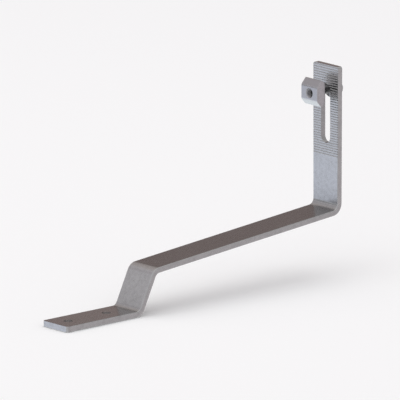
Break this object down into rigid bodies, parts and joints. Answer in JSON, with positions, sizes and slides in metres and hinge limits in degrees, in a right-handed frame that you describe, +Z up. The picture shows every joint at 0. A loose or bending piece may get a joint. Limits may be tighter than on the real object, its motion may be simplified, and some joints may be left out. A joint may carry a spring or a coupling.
{
  "type": "solar tile roof hook",
  "caption": "Bent flat-bar roof hook with a slotted, serrated upright carrying a rail nut on a socket head bolt.",
  "frame": {"origin": "underside of the base, midway between the two screw holes", "axes": "+Y from the base towards the upright, +Z up out of the roof, +X across the strap"},
  "size_m": [0.035, 0.3611, 0.2031],
  "materials": {
    "strap_steel": "satin",
    "nut_aluminium": "satin",
    "bolt_steel": "satin",
    "washer_steel": "satin"
  },
  "bodies": {
    "hook": {"hook_strap": "strap_steel"},
    "washers": {"plain_washer": "washer_steel", "spring_washer": "washer_steel"},
    "bolt": {"clamp_bolt": "bolt_steel"},
    "nut": {"rail_nut": "nut_aluminium"}
  },
  "joints": [
    {"name": "slot_slide", "type": "slide", "parent": "hook", "child": "washers", "axis": [0, 0, 1], "range_m": [-0.0478, 0.0022]},
    {"name": "bolt_turn", "type": "hinge", "parent": "washers", "child": "bolt", "pos_m": [0, 0.31257, 0.17838], "axis": [0, -1, 0], "range_deg": [-1080, 2880]},
    {"name": "nut_draw", "type": "slide", "parent": "washers", "child": "nut", "axis": [0, 1, 0], "range_m": [-0.0038, 0.0101]}
  ],
  "couplings": [
    {"joint": "nut_draw", "follows": "bolt_turn", "m_per_rad": 0.00019894}
  ]
}
